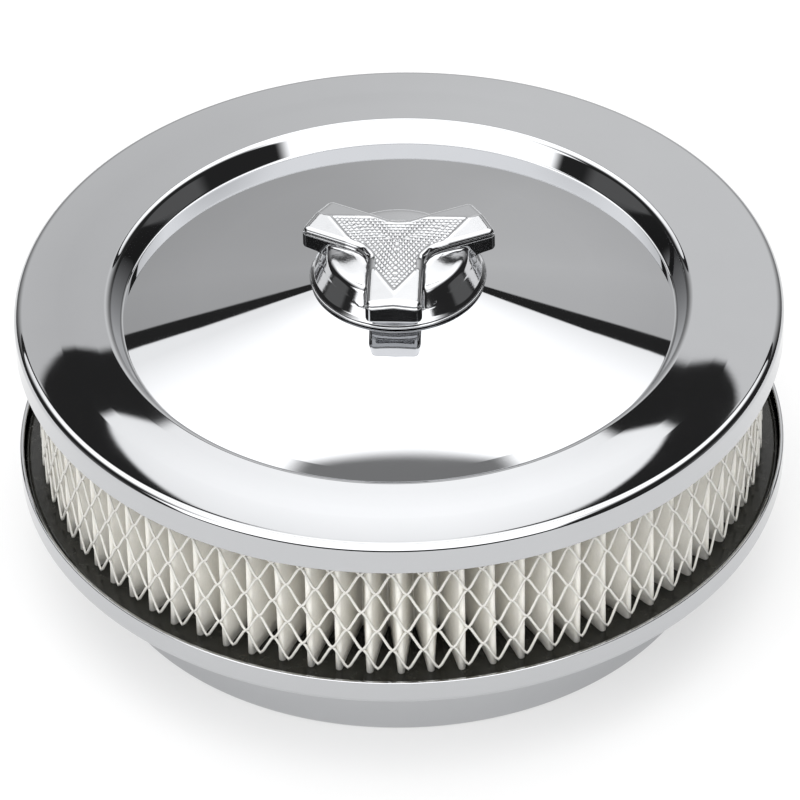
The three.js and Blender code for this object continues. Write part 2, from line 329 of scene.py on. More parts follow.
class Nodes:
    """Helpers that add shader nodes to a material or to the world."""

    def __init__(self, owner):
        owner.use_nodes = True
        self.nodes = owner.node_tree.nodes
        self.links = owner.node_tree.links

    def feed(self, socket, value):
        if isinstance(value, bpy.types.NodeSocket):
            self.links.new(value, socket)
        else:
            socket.default_value = value

    def node(self, kind, **inputs):
        node = self.nodes.new(kind)
        for name, value in inputs.items():
            self.feed(node.inputs[name.replace("_", " ")], value)
        return node

    def math(self, operation, *values):
        node = self.nodes.new("ShaderNodeMath")
        node.operation = operation
        for socket, value in zip(node.inputs, values):
            self.feed(socket, value)
        return node.outputs[0]

    def product(self, first, *others):
        for other in others:
            first = self.math("MULTIPLY", first, other)
        return first

    def total(self, first, *others):
        for other in others:
            first = self.math("ADD", first, other)
        return first

    def span(self, value, low, high, to_low, to_high):
        """A straight slope from to_low at low to to_high at high, level outside them."""
        node = self.node("ShaderNodeMapRange", Value=value, From_Min=low, From_Max=high,
                         To_Min=to_low, To_Max=to_high)
        return node.outputs["Result"]

    def edge(self, value, low, high):
        """A smooth step from 0 at low to 1 at high; with low above high it falls."""
        node = self.node("ShaderNodeMapRange", Value=value, From_Min=low, From_Max=high)
        node.interpolation_type = "SMOOTHSTEP"
        return node.outputs["Result"]


class Finish(Nodes):
    """A node material under construction, round a principled shader."""

    def __init__(self, name, **sockets):
        self.material = bpy.data.materials.new(name)
        super().__init__(self.material)
        self.shader = self.nodes["Principled BSDF"]
        for socket, value in sockets.items():
            self.set(socket.replace("_", " "), value)
        self.place = self.node("ShaderNodeTexCoord").outputs["Object"]

    def set(self, socket, value):
        self.feed(self.shader.inputs[socket], value)

    def stretched(self, scale):
        """The piece's own coordinates, stretched along each axis."""
        return self.node("ShaderNodeMapping", Vector=self.place, Scale=scale).outputs[0]

    def noise(self, scale, detail=3.0, roughness=0.5, place=None):
        node = self.node("ShaderNodeTexNoise", Vector=place or self.place, Scale=scale,
                         Detail=detail, Roughness=roughness)
        return node.outputs["Fac"]

    def blend(self, factor, first, second):
        node = self.nodes.new("ShaderNodeMix")
        node.data_type = "RGBA"
        self.feed(node.inputs["Factor"], factor)
        for socket, value in (("A", first), ("B", second)):
            chosen = [s for s in node.inputs if s.name == socket and s.type == "RGBA"][0]
            self.feed(chosen, value)
        return [s for s in node.outputs if s.type == "RGBA"][0]

    def relief(self, *layers):
        """Bumps one over another. A layer is its height and how many microns that stands up."""
        normal = None
        for height, microns in layers:
            node = self.node("ShaderNodeBump", Height=height, Distance=microns * MICRON)
            if normal is not None:
                self.feed(node.inputs["Normal"], normal)
            normal = node.outputs["Normal"]
        self.set("Normal", normal)

    def attribute(self, name):
        node = self.nodes.new("ShaderNodeAttribute")
        node.attribute_name = name
        return node.outputs["Fac"]

    def tint(self, share, value, first, second):
        """Base colour that runs from one strength of a colour to another."""
        self.set("Base Color", self.blend(share, rgba(value, first), rgba(value, second)))

    def gloss(self, share, smoothest, roughest, low=NOISE_LOW, high=NOISE_HIGH):
        self.set("Roughness", self.span(share, low, high, smoothest, roughest))


def chrome_sheet_finish():
    """Polished plate: broad waves left by the press, faint haze, and hairline rubbing."""
    finish = Finish("chrome_sheet", Metallic=1.0)
    haze = finish.noise(55.0, detail=4.0, roughness=0.6)
    hairs = finish.noise(900.0, detail=2.0, place=finish.stretched((1.0, 1.0, 0.1)))
    finish.gloss(haze, 0.012, 0.034, high=0.75)
    finish.tint(haze, finishes().chrome, 1.02, 0.97)
    finish.relief((finish.noise(22.0, detail=1.0, roughness=0.4), 30.0), (hairs, 0.15))
    return finish.material


def chrome_casting_finish():
    """Plated die casting: softer edges, and a duller pebbled panel."""
    finish = Finish("chrome_casting", Metallic=1.0)
    panel = finish.attribute("pebbled")
    grain = finish.noise(2600.0, roughness=0.6)
    haze = finish.span(finish.noise(160.0), NOISE_LOW, NOISE_HIGH, 0.05, 0.10)
    finish.set("Roughness", finish.math("MULTIPLY_ADD", panel, 0.16, haze))
    finish.tint(panel, finishes().chrome, 1.05, 1.0)
    finish.relief((finish.noise(140.0, detail=2.0), 20.0), (grain, 4.0))
    return finish.material


def zinc_finish(name="zinc_plate"):
    """Dull bright zinc with a fine crystalline mottle."""
    finish = Finish(name, Metallic=1.0)
    mottle = finish.noise(1400.0, detail=4.0, roughness=0.65)
    finish.tint(mottle, finishes().zinc, 0.8, 1.15)
    finish.gloss(mottle, 0.24, 0.42)
    finish.relief((mottle, 10.0))
    return finish.material


def brass_finish():
    """Machined brass with turning marks round the axis."""
    finish = Finish("brass_thread", Metallic=1.0)
    marks = finish.noise(500.0, roughness=0.6, place=finish.stretched((0.2, 0.2, 4.0)))
    finish.tint(marks, finishes().brass, 0.82, 1.1)
    finish.gloss(marks, 0.2, 0.36)
    finish.relief((marks, 10.0))
    return finish.material


def paper_finish():
    """Filter paper: felted fibres, cloudy density, and a warmer tone in the thin places."""
    finish = Finish("filter_paper", Subsurface_Weight=0.12, Subsurface_Scale=0.002,
                    Subsurface_Radius=(1.0, 0.9, 0.7))
    clouds = finish.noise(260.0, detail=5.0, roughness=0.6)
    fibres = finish.noise(1900.0, detail=4.0, roughness=0.7,
                          place=finish.stretched((1.0, 1.0, 0.45)))
    tone = finish.blend(clouds, rgba(finishes().paper, 0.93), rgba(finishes().paper, 1.04))
    finish.set("Base Color", finish.blend(
        finish.span(fibres, 0.35, 0.75, 0.0, 0.35), tone, rgba(finishes().paper, 0.78)))
    finish.gloss(fibres, 0.82, 0.96)
    finish.relief((clouds, 80.0), (fibres, 50.0))
    return finish.material


def strand_finish():
    """White dipped coating with soft sags and a satin gloss."""
    finish = Finish("coated_wire", Coat_Weight=0.25, Coat_Roughness=0.2)
    sags = finish.noise(700.0, roughness=0.55)
    finish.tint(sags, finishes().strand, 0.94, 1.05)
    finish.gloss(sags, 0.32, 0.5)
    finish.relief((sags, 60.0))
    return finish.material


def seal_finish(name="black_seal"):
    """Moulded black urethane: glossy skin with small pores and a dusty bloom."""
    finish = Finish(name)
    skin = finish.noise(420.0, detail=4.0, roughness=0.6)
    pores = finish.noise(2400.0, detail=2.0)
    finish.tint(finish.span(skin, 0.5, 0.85, 0.0, 1.0), finishes().seal, 1.0, 2.2)
    finish.gloss(skin, 0.16, 0.3)
    finish.relief((skin, 80.0), (pores, 8.0))
    return finish.material


def gasket_finish():
    """Pressed fibre: short dark and light fibres in a brown-black binder."""
    finish = Finish("gasket_fibre")
    fibres = finish.noise(1500.0, detail=5.0, roughness=0.75,
                          place=finish.stretched((1.0, 0.35, 1.0)))
    finish.tint(finish.span(fibres, 0.4, 0.7, 0.0, 1.0), finishes().gasket, 1.0, 2.4)
    finish.gloss(fibres, 0.8, 0.95)
    finish.relief((fibres, 60.0))
    return finish.material


def floor_finish():
    """Plain white table, lit softly from below, with a barely visible tooth."""
    finish = Finish("pale_floor", Specular_IOR_Level=0.2, Emission_Strength=studio().table)
    tooth = finish.noise(35.0)
    finish.tint(tooth, finishes().floor, 0.995, 1.005)
    finish.gloss(tooth, 0.75, 0.85)
    return finish.material


# ---- Pressed steel ----

# a corner is its radius and height, and the bend there when it has one
RECESS_EDGE = (61.4, 63.46, 1.7)  # the ring turns down here
RECESS_FOOT = (58.9, 59.1, 0.6)  # the recess wall meets the coned floor
CONE_KNEE = (49.0, 61.6, 500.0)  # the cone is steeper outside it
CONE_TOP = (14.5, 69.49, 2.0)
LID_PAD = (11.0, 67.6, 1.0)
STUD_HOLE = 3.6
LID_EDGE_HEIGHT = 62.35
RING_CREST = (67.5, 63.12, 300.0)  # the ring is flatter inside it
RING_BREAK = (76.0, 62.53, 180.0)  # and flatter again outside this one
SHEARED_EDGE = 0.3


def lid_shell():
    """The lid's section: lip, sloping ring, recess wall, coned floor and the pad under the nut,
    turned about the vertical axis."""
    radius = LID_HIGH[0]
    top = [(radius, LID_LOW[2]), (radius, LID_EDGE_HEIGHT, sizes().lid_edge_bend / MM),
           RING_BREAK, RING_CREST, RECESS_EDGE, RECESS_FOOT, CONE_KNEE, CONE_TOP, LID_PAD,
           (STUD_HOLE, LID_PAD[1])]
    return turned(sheet(top, sizes().lid_sheet / MM, SHEARED_EDGE)), None


PAN_HOLE = 57.0
PAN_HOLE_FLANGE = 24.2
PAN_HOLE_BEND = 1.5
PAN_RIM_BEND = 1.6
PAN_BEAD = (72.5, 0.25, 2.2)  # radius, depth and half width
PAN_BEAD_BEND = 2.0


def pan_shell():
    """The pan's section: flange round its hole, flat floor with one shallow bead, and lip."""
    radius, bottom, top = PAN_HIGH[0], PAN_LOW[2], PAN_HIGH[2]
    middle, depth, half = PAN_BEAD
    underside = [(PAN_HOLE, PAN_HOLE_FLANGE), (PAN_HOLE, bottom, PAN_HOLE_BEND),
                 (middle - half, bottom, PAN_BEAD_BEND),
                 (middle, bottom + depth, PAN_BEAD_BEND),
                 (middle + half, bottom, PAN_BEAD_BEND),
                 (radius, bottom, PAN_RIM_BEND), (radius, top)]
    return turned(sheet(underside, sizes().pan_sheet / MM, SHEARED_EDGE)), None


COLLAR_RADIUS = 66.8
COLLAR_BORE = 65.2
COLLAR_HEM = 6.0
COLLAR_BEND = 1.5
COLLAR_RIM_BEND = 0.75


def collar_shell():
    """The neck's section: a straight wall, a flange turned out at its top, and a hem folded
    flat against the inside at its bottom, with a round fold at the rim."""
    thickness = sizes().collar_sheet / MM
    bottom, top = COLLAR_LOW[2], COLLAR_HIGH[2]
    flange, under = COLLAR_HIGH[0], COLLAR_HIGH[2] - thickness
    inside = COLLAR_RADIUS - thickness
    section = [(COLLAR_RADIUS, bottom, COLLAR_RIM_BEND), (COLLAR_RADIUS, under, COLLAR_BEND),
               (flange, under, SHEARED_EDGE), (flange, top, SHEARED_EDGE),
               (inside, top, COLLAR_BEND + thickness), (inside, COLLAR_HEM),
               (COLLAR_BORE, COLLAR_HEM, SHEARED_EDGE), (COLLAR_BORE, bottom, COLLAR_RIM_BEND)]
    return turned(rounded(section)), None


class AIRFILTER_OT_pressed_steel(Operator):
    """Lid, base pan and neck collar"""

    bl_idname = "air_filter.pressed_steel"
    bl_label = "Pressed Steel"

    def execute(self, context):
        chrome = chrome_sheet_finish()
        piece("lid", [lid_shell()], chrome, "lid", "chrome_sheet", "top_lid")
        piece("pan", [pan_shell()], chrome, "base", "chrome_sheet", "base_pan")
        piece("collar", [collar_shell()], chrome, "base", "chrome_sheet", "neck_collar")
        return {"FINISHED"}


# ---- Filter element ----

PLEAT_TIP = 76.9
PLEAT_ROOT = 62.4
NOSE_BEND = 0.45  # inside bend of a fold
NOSE_POINTS = 6
WALL_POINTS = (0.3, 0.7)
EMBEDDED = 0.8
FOLD_WANDER = 0.30  # how far a fold strays from its even place
PAPER_ROWS = 9
SEED = 11


def fold_line(tips, roots, angles):
    """Zigzag line round the element with round folds. Fold k stands at its own radius and
    angle, and every fold has the same number of points."""
    radius = np.where(np.arange(len(angles)) % 2 == 0, tips, roots)
    corner = np.stack([radius * np.cos(angles), radius * np.sin(angles)], 1)
    back = unit(np.roll(corner, 1, axis=0) - corner)
    ahead = unit(np.roll(corner, -1, axis=0) - corner)
    half = np.arccos(np.clip((back * ahead).sum(1), -1, 1)) / 2
    centre = corner + unit(back + ahead) * (NOSE_BEND / np.sin(half))[:, None]
    start = corner + back * (NOSE_BEND / np.tan(half))[:, None] - centre
    end = corner + ahead * (NOSE_BEND / np.tan(half))[:, None] - centre
    sweep = np.arctan2(start[:, 0] * end[:, 1] - start[:, 1] * end[:, 0],
                       (start * end).sum(1))
    t = np.linspace(0, 1, NOSE_POINTS + 1)
    turn = sweep[:, None, None] * t[None, :, None]
    side = np.stack([-start[:, 1], start[:, 0]], 1)
    arcs = centre[:, None] + np.cos(turn) * start[:, None] + np.sin(turn) * side[:, None]
    last = arcs[:, -1:]
    first = np.roll(arcs[:, :1], -1, axis=0)
    middle = [last + (first - last) * share for share in WALL_POINTS]
    return np.concatenate([arcs, *middle], axis=1).reshape(-1, 2)


def side_of(line):
    """Unit normal of a closed flat line at each of its points."""
    run = unit(np.roll(line, -1, axis=0) - np.roll(line, 1, axis=0))
    return np.stack([run[:, 1], -run[:, 0]], 1)


def paper_shell():
    """Pleated paper: the zigzag line at each height, half the paper's thickness to either side.
    Its folds lean a little, so the line at the top differs from the line at the bottom, and
    the heights between are a smooth mix of the two and of a third line."""
    random = np.random.default_rng(SEED)
    folds = 2 * sizes().pleats
    half_sheet = sizes().paper_thickness / MM / 2
    even = np.pi / 2 + np.arange(folds) * 2 * np.pi / folds
    # a round fold stands back from its corner, so the corner is put further out
    half_fold = np.arctan(np.pi * PLEAT_TIP / sizes().pleats / (PLEAT_TIP - PLEAT_ROOT))
    stand_back = (NOSE_BEND + half_sheet) * (1 / np.sin(half_fold) - 1)
    lines = []
    for _ in range(3):
        wander = random.uniform(-1, 1, (2, folds)) * FOLD_WANDER
        angles = even + wander[0] / PLEAT_TIP
        further = stand_back - abs(wander[1])
        lines.append(fold_line(PLEAT_TIP + further, PLEAT_ROOT - further, angles))
    bottom = LOWER_SEAL_HIGH[2] - SEAL_DISH - EMBEDDED
    top = UPPER_SEAL_LOW[2] + EMBEDDED
    outside, inside = [], []
    for t in np.linspace(0, 1, PAPER_ROWS):
        line = lines[0] * (1 - t) ** 2 + lines[1] * 2 * t * (1 - t) + lines[2] * t ** 2
        side = side_of(line) * half_sheet
        height = np.full((len(line), 1), bottom + (top - bottom) * t)
        outside.append(np.hstack([line + side, height]))
        inside.append(np.hstack([line - side, height]))
    grid = np.stack(outside + inside[::-1])
    reach = np.linalg.norm(grid[..., :2], axis=-1).max()
    grid[..., :2] *= min(1.0, PLEAT_TIP / reach)
    return grid, None


STRAND_POINTS = 10  # steps along one period of a strand
STRAND_SIDES = 6
STRAND_DEPTH = 0.56
STRAND_LEAN = 0.18  # from its lower turns to its upper ones
STRAND_SWELL = 0.25
SWELL_SPREAD = 0.004
BOND = 0.28  # half length of the flat where two strands join
SCREEN_FOOT = 0.7
SCREEN_HEAD = 0.2


def strand(radius, base, rise, flip):
    """One strand of expanded metal round the screen: a zigzag between base and base + rise,
    flattened at its turns, carried round a circle, with an oval section that leans outward
    at each lower turn and inward at each upper one."""
    count = sizes().diamonds
    steps = count * STRAND_POINTS
    angle = round_steps(steps)
    phase = (np.arange(steps) / STRAND_POINTS + (0.5 if flip else 0.0)) % 1.0
    saw = np.abs(phase * 2 - 1)
    flat = 2 * BOND * count / (2 * np.pi * radius)
    level = np.clip((saw - flat) / (1 - 2 * flat), 0, 1)
    path = round_axis(radius + STRAND_LEAN * (0.5 - level), base + rise * level, angle)
    run = unit(np.roll(path, -1, axis=0) - np.roll(path, 1, axis=0))
    out = round_axis(1.0, 0.0, angle)
    across = unit(np.cross(run, out))
    turn = (np.arange(STRAND_SIDES) * 2 + 1) * np.pi / STRAND_SIDES
    swell = 1.0 + STRAND_SWELL * np.exp(-((saw - 0.5) ** 2 - 0.25) ** 2 / SWELL_SPREAD)
    half_width = sizes().strand_width / MM / 2 * swell[:, None]
    ring = (np.cos(turn)[:, None, None] * across * half_width
            + np.sin(turn)[:, None, None] * out * STRAND_DEPTH / 2)
    return path[None, :] + ring, None


def screen_shells(outside):
    """Strands one above another, inside a circle. Each rises half a diamond, and every second
    one is shifted by half a period, so its lower turns meet the upper turns below it."""
    low = LOWER_SEAL_HIGH[2] + SCREEN_FOOT
    high = UPPER_SEAL_LOW[2] + SCREEN_HEAD
    rows = int(round((high - low) / (sizes().diamond_height / MM / 2)))
    rise = (high - low) / rows
    return [strand(outside - STRAND_DEPTH / 2, low + k * rise, rise, k % 2 == 1)
            for k in range(rows)]


SEAL_BORE = 58.3
SEAL_DISH = 1.0  # the cast face sinks this far below its rim
SEAL_CORNER = 0.3
SEAL_RIM = 0.5
SEAL_FOOT = (0.4, 1.2)  # how far the outer edge leans in, and its bend
SEAL_SIDE = (1.6, 0.6)  # how high the lean ends, and its bend
SEAL_ROWS = (6, 16, 3)
SEAL_CLEAR = (0.4, 0.5)
SEAL_STEPS = 16
SEAL_RIPPLES = ((0.05, 7, 0.0), (0.04, 23, 1.0))
MENISCUS = 0.7  # how far the seal climbs the paper
MENISCUS_REACH = 0.7
MENISCUS_POWER = 1.3
NOSE_FADE = (0.3, 5.0)  # the climb grows from tip inward
NOSE_SHIFT = 0.2


def lower_seal_shell():
    """Cast ring with a round outer edge. Its top face climbs the paper's walls: the rise dies
    away with the distance from the zigzag, and fades out at the noses of the pleats."""
    pleats = sizes().pleats
    outer = LOWER_SEAL_HIGH[0]
    bottom, top = LOWER_SEAL_LOW[2], LOWER_SEAL_HIGH[2] - SEAL_DISH
    outside, across, inside = SEAL_ROWS
    radii = np.concatenate([
        np.linspace(outer - SEAL_RIM, PLEAT_TIP + SEAL_CLEAR[0], outside),
        np.linspace(PLEAT_TIP, PLEAT_ROOT, across),
        np.linspace(PLEAT_ROOT - SEAL_CLEAR[1], SEAL_BORE + SEAL_RIM, inside)])
    under = rounded([(SEAL_BORE, top, SEAL_CORNER), (SEAL_BORE, bottom, SEAL_CORNER),
                     (outer - SEAL_FOOT[0], bottom, SEAL_FOOT[1]),
                     (outer, bottom + SEAL_SIDE[0], SEAL_SIDE[1]), (outer, top, SEAL_RIM)])
    face = np.column_stack([radii, np.full(len(radii), top)])
    grid = turned(np.vstack([face, under[1:]]), pleats * SEAL_STEPS)
    angle = round_steps(pleats * SEAL_STEPS)
    period = 2 * np.pi / pleats
    from_tip = np.abs((angle - np.pi / 2 + period / 2) % period - period / 2)
    radius = radii[:, None]
    share = np.clip((PLEAT_TIP + NOSE_SHIFT - radius) / (PLEAT_TIP - PLEAT_ROOT), 0, 1)
    gap = np.abs(from_tip[None, :] - share * period / 2) * radius
    climb = MENISCUS * np.exp(-(gap / MENISCUS_REACH) ** MENISCUS_POWER)
    fade = smooth(PLEAT_TIP - radius, *NOSE_FADE) * smooth(radius, PLEAT_ROOT - 1, PLEAT_ROOT)
    ripple = sum(height * np.sin(waves * angle + start)
                 for height, waves, start in SEAL_RIPPLES)
    raised = grid[:len(face), :, 2] + climb * fade + ripple[None, :]
    grid[:len(face), :, 2] = np.minimum(raised, top + MENISCUS)
    return grid, None


UPPER_SEAL_BORE = 58.4
UPPER_SEAL_FOOT = (0.6, 0.8)
UPPER_SEAL_SIDE = (60.8, 0.6)  # height and bend
UNDER_RING = (72.0, 61.6, 3.0)
UNDER_CREST = (64.0, 0.5)
UNDER_EDGE = (62.4, 61.8, 0.5)
UNDER_RECESS = (59.6, 58.0, 0.4)


def upper_seal_shell():
    """Cast ring that fills the lid's ring from below, with a round lower edge."""
    inner, outer = UPPER_SEAL_BORE, UPPER_SEAL_HIGH[0]
    bottom, top = UPPER_SEAL_LOW[2], UPPER_SEAL_HIGH[2]
    section = [(inner, bottom, UPPER_SEAL_FOOT[0]), (outer, bottom, UPPER_SEAL_FOOT[1]),
               (outer, *UPPER_SEAL_SIDE), UNDER_RING, (UNDER_CREST[0], top, UNDER_CREST[1]),
               UNDER_EDGE, UNDER_RECESS, (inner, *UNDER_RECESS[1:])]
    return turned(rounded(section)), None


CLIP_WALL = 0.45
CLIP_FOLD = 0.3
CLIP_END = 1.5
CLIP_HEIGHTS = 60
CRIMP_PITCH = 4.0
CRIMP_DEPTH = 0.22
CRIMP_SHAPE = (0.2, 0.9)
CRIMP_FADE = (0.1, 1.4)


def clip_shell():
    """Folded steel strip over the paper's seam: a strip as tall as the element, carried along a
    U seen from above, with crimped dents pressed into the two legs of the U."""
    half = CLIP_HIGH[0] - CLIP_WALL / 2
    inner, outer = CLIP_LOW[1] + CLIP_WALL / 2, CLIP_HIGH[1]
    path = rounded([(half, outer), (half, outer - CLIP_END), (half, inner, CLIP_FOLD),
                    (-half, inner, CLIP_FOLD), (-half, outer - CLIP_END), (-half, outer)],
                   closed=False, step=15.0)
    run = unit(np.gradient(path, axis=0))
    side = np.stack([run[:, 1], -run[:, 0]], 1) * CLIP_WALL / 2
    up = np.linspace(CLIP_LOW[2], CLIP_HIGH[2], CLIP_HEIGHTS)
    height = np.concatenate([up, up[::-1]])
    face = np.repeat([1.0, -1.0], CLIP_HEIGHTS)
    flat = path[:, None] + side[:, None] * face[None, :, None]
    crimp = smooth(np.cos((height - up[0]) * 2 * np.pi / CRIMP_PITCH), *CRIMP_SHAPE)
    flat[..., 0] *= 1 - CRIMP_DEPTH * crimp[None, :] * smooth(outer - path[:, 1:], *CRIMP_FADE)
    grid = np.concatenate([flat, np.broadcast_to(height[None, :, None],
                                                 (*flat.shape[:2], 1))], -1)
    middle = (up[0] + up[-1]) / 2
    return grid, [(half, outer, middle), (-half, outer, middle)]


class AIRFILTER_OT_element(Operator):
    """Seals, screens, pleated paper and seam clip"""

    bl_idname = "air_filter.element"
    bl_label = "Filter Element"

    def execute(self, context):
        seal = seal_finish()
        strands = strand_finish()
        piece("lower_seal", [lower_seal_shell()], seal, "element", "black_seal",
              "bottom_seal")
        piece("upper_seal", [upper_seal_shell()], seal, "element", "black_seal", "top_seal")
        piece("paper", [paper_shell()], paper_finish(), "element", "filter_paper",
              "pleated_paper")
        piece("outer_mesh", screen_shells(SCREEN_HIGH[0]), strands, "element",
              "coated_wire", "outer_screen")
        piece("inner_mesh", screen_shells(INNER_SCREEN_HIGH[0]), strands, "element",
              "coated_wire", "inner_screen")
        piece("paper_clip", [clip_shell()], zinc_finish("clip_steel"), "element",
              "zinc_plate", "seam_clip")
        return {"FINISHED"}


# ---- Stud, gasket, washer and insert ----

THREAD_DEPTH = 0.62
THREAD_ROWS = 10
THREAD_SLOPE = 2.6
THREAD_ROOT = 0.35
STUD_ROUND = 40
STUD_CHAMFER = 0.2
INSERT_BORE = 3.62
INSERT_THREAD = 0.3
INSERT_ENDS = (0.1, 0.4)  # chamfers of the bore and of the outside
INSERT_ROWS = 14
KNURL_DEPTH = 0.12
KNURLS = 24
GASKET_BORE = 58.6
GASKET_BEND = 0.4
WASHER_BEND = 0.35


def thread_form(height, angle, pitch):
    """Flat-topped thread profile, 0 at the root and 1 at the crest, climbing one pitch in
    each turn."""
    phase = (height / pitch - angle / (2 * np.pi)) % 1.0
    return np.clip((0.5 - np.abs(phase - 0.5)) * THREAD_SLOPE - THREAD_ROOT, 0, 1)


def stud_shell():
    """Threaded rod: the radius follows the thread, and both ends are chamfered."""
    low, high = STUD_LOW[2], STUD_HIGH[2]
    pitch = sizes().thread_pitch / MM
    height = np.linspace(low, high, int((high - low) / pitch * THREAD_ROWS))[:, None]
    angle = round_steps(STUD_ROUND)[None, :]
    root = STUD_HIGH[0] - THREAD_DEPTH
    thread = root + THREAD_DEPTH * thread_form(height, angle, pitch)
    end = root - STUD_CHAMFER + np.minimum(height - low, high - height)
    return round_axis(np.minimum(thread, end), height, angle), [(0, 0, low), (0, 0, high)]


def insert_shell():
    """Brass bush with a threaded bore and a knurled outside."""
    outer = INSERT_HIGH[0]
    low, high = INSERT_LOW[2], INSERT_HIGH[2]
    pitch = sizes().thread_pitch / MM
    angle = round_steps(SMALL_ROUND)[None, :]
    inside = np.linspace(high - INSERT_THREAD, low + INSERT_THREAD,
                         int((high - low) / pitch * THREAD_ROWS))[:, None]
    bore = INSERT_BORE - INSERT_THREAD * thread_form(inside, angle, pitch)
    near, far = INSERT_BORE + INSERT_ENDS[0], outer - INSERT_ENDS[1]
    outside = np.linspace(low + INSERT_ENDS[1], high - INSERT_ENDS[1], INSERT_ROWS)[:, None]
    knurl = outer - KNURL_DEPTH * (0.5 + 0.5 * np.cos(KNURLS * angle)) + 0 * outside
    ends = [np.full_like(angle, radius) for radius in (near, far, far, near)]
    radius = np.vstack([bore, *ends[:2], knurl, *ends[2:]])
    height = np.vstack([inside, [[low], [low]], outside, [[high], [high]]])
    return round_axis(radius, height, angle), None


class AIRFILTER_OT_small_parts(Operator):
    """Centre stud, carburettor gasket, sealing washer and threaded insert"""

    bl_idname = "air_filter.small_parts"
    bl_label = "Small Parts"

    def execute(self, context):
        piece("stud", [stud_shell()], zinc_finish(), "base", "zinc_plate", "centre_stud")
        gasket = ring_section(GASKET_BORE, GASKET_HIGH[0], GASKET_LOW[2], GASKET_HIGH[2],
                              GASKET_BEND)
        piece("gasket", [(turned(gasket), None)], gasket_finish(), "base", "gasket_fibre",
              "carburettor_gasket")
        washer = ring_section(STUD_HOLE, WASHER_HIGH[0], WASHER_LOW[2], WASHER_HIGH[2],
                              WASHER_BEND)
        piece("washer", [(turned(washer, SMALL_ROUND), None)], seal_finish("washer_rubber"),
              "washer", "black_seal", "sealing_washer")
        piece("insert", [insert_shell()], brass_finish(), "nut", "brass_thread",
              "threaded_insert")
        return {"FINISHED"}


# ---- Tri-bar nut ----

ARM_LENGTH = 20.7
ARM_HALF_WIDTH = 5.95
ARM_FILLET = 6.0
ARM_CORNER = 1.6
ARM_BOTTOM = 72.1
HOLLOW_LIFT = 1.2  # of the underside between arms
HOLLOW_REACH = (9.0, 12.5)  # radii, from hollow to arm
FLANGE_RADIUS = 18.7
FLANGE_TOP = 69.5
FLANGE_SIDE = (69.45, 0.3)  # height and bend of the flange's upper edge
FLANGE_LIP = 0.9
BELL = ((7.4, 77.0), (7.9, 76.3, 1.0), (14.5, 75.5, 2.4), (17.7, 70.2, 0.6), (18.4, 69.6))
BELL_FILLET = (0.7, 7.5, 9.0)  # width, and where it grows
UNDER_ARM = 71.8  # the arms' underside meets the bell
UNDER_SAG = 0.25
HOLLOW_ROOF = 70.2  # the flange is hollow below
HOLLOW_RADII = (9.4, 13.0)
SOCKET = (5.8, 76.2)  # of the threaded insert
BOSS_GAP = 0.3
INSIDE_BEND = 0.3
POLE = 0.6
PANEL_REACH = 17.0  # from axis to panel point
PANEL_SLOPE = 0.03
PANEL_DROP = 0.12
PANEL_SINK = 0.18
PANEL_EDGE = (0.25, 0.6)
PANEL_TIP = 0.8
OUTLINE_EDGE = 0.99
OUTLINE_FADE = 0.05
MARGIN_SLOPE = 0.12
BORDER = (0.28, 0.09)
PEBBLE = 0.26
PEBBLE_SPREAD = 0.16
PEBBLE_POWER = 0.7
EDGE_ROUND = 1.5  # how far it reaches in
EDGE_STEPS = ((1.05, 0.05), (0.70, 0.18), (0.42, 0.36), (0.22, 0.58), (0.12, 0.80),
              (0.28, 0.95), (0.28, 1.12), (0.06, 1.28), (0.0, 1.5))   # inset and drop
UNDER_STEPS = ((0.0, 0.6), (0.12, 0.3), (0.35, 0.1), (0.7, 0.0))  # inset and lift
SIDE_SPAN = (0.03, 0.97)
SIDE_RINGS = 18
UNDER_RINGS = 10
BELL_RINGS = 22
NUT_COLUMNS = 480
NUT_ROWS = 76


def arm_outline():
    """Y shape of three arms: straight sides, round tip corners, and a round hollow between
    each two arms, as points evenly spaced along it."""
    corners = []
    for arm in range(3):
        heading = -np.pi / 2 + arm * 2 * np.pi / 3
        along = np.array([np.cos(heading), np.sin(heading)])
        left = np.array([-along[1], along[0]])
        for side in (-1, 1):
            corners.append((*(along * ARM_LENGTH + left * side * ARM_HALF_WIDTH),
                            ARM_CORNER))
        between = heading + np.pi / 3
        hollow = ARM_HALF_WIDTH / np.sin(np.pi / 3)
        corners.append((hollow * np.cos(between), hollow * np.sin(between), ARM_FILLET))
    line = rounded(corners, step=4.0)
    line = np.vstack([line, line[:1]])
    run = np.concatenate([[0], np.cumsum(np.linalg.norm(np.diff(line, axis=0), axis=1))])
    even = np.linspace(0, run[-1], NUT_COLUMNS, endpoint=False)
    return np.stack([np.interp(even, run, line[:, k]) for k in range(2)], 1)


def bell_radius(height):
    """Radius of the bell under the arms: a round shoulder, a steep side, and a foot that
    flares out to the flange."""
    section = rounded(BELL, closed=False)[::-1]
    return np.interp(height, section[:, 1], section[:, 0])


def push_out(points, height):
    """Keeps a ring of points outside the bell, with a small fillet where they meet."""
    distance = np.hypot(points[:, 0], points[:, 1])
    bell = bell_radius(height)
    fillet, low, high = BELL_FILLET
    apart = np.hypot(distance - bell, fillet * smooth(bell, low, high))
    return points * ((distance + bell + apart) / 2 / distance)[:, None]


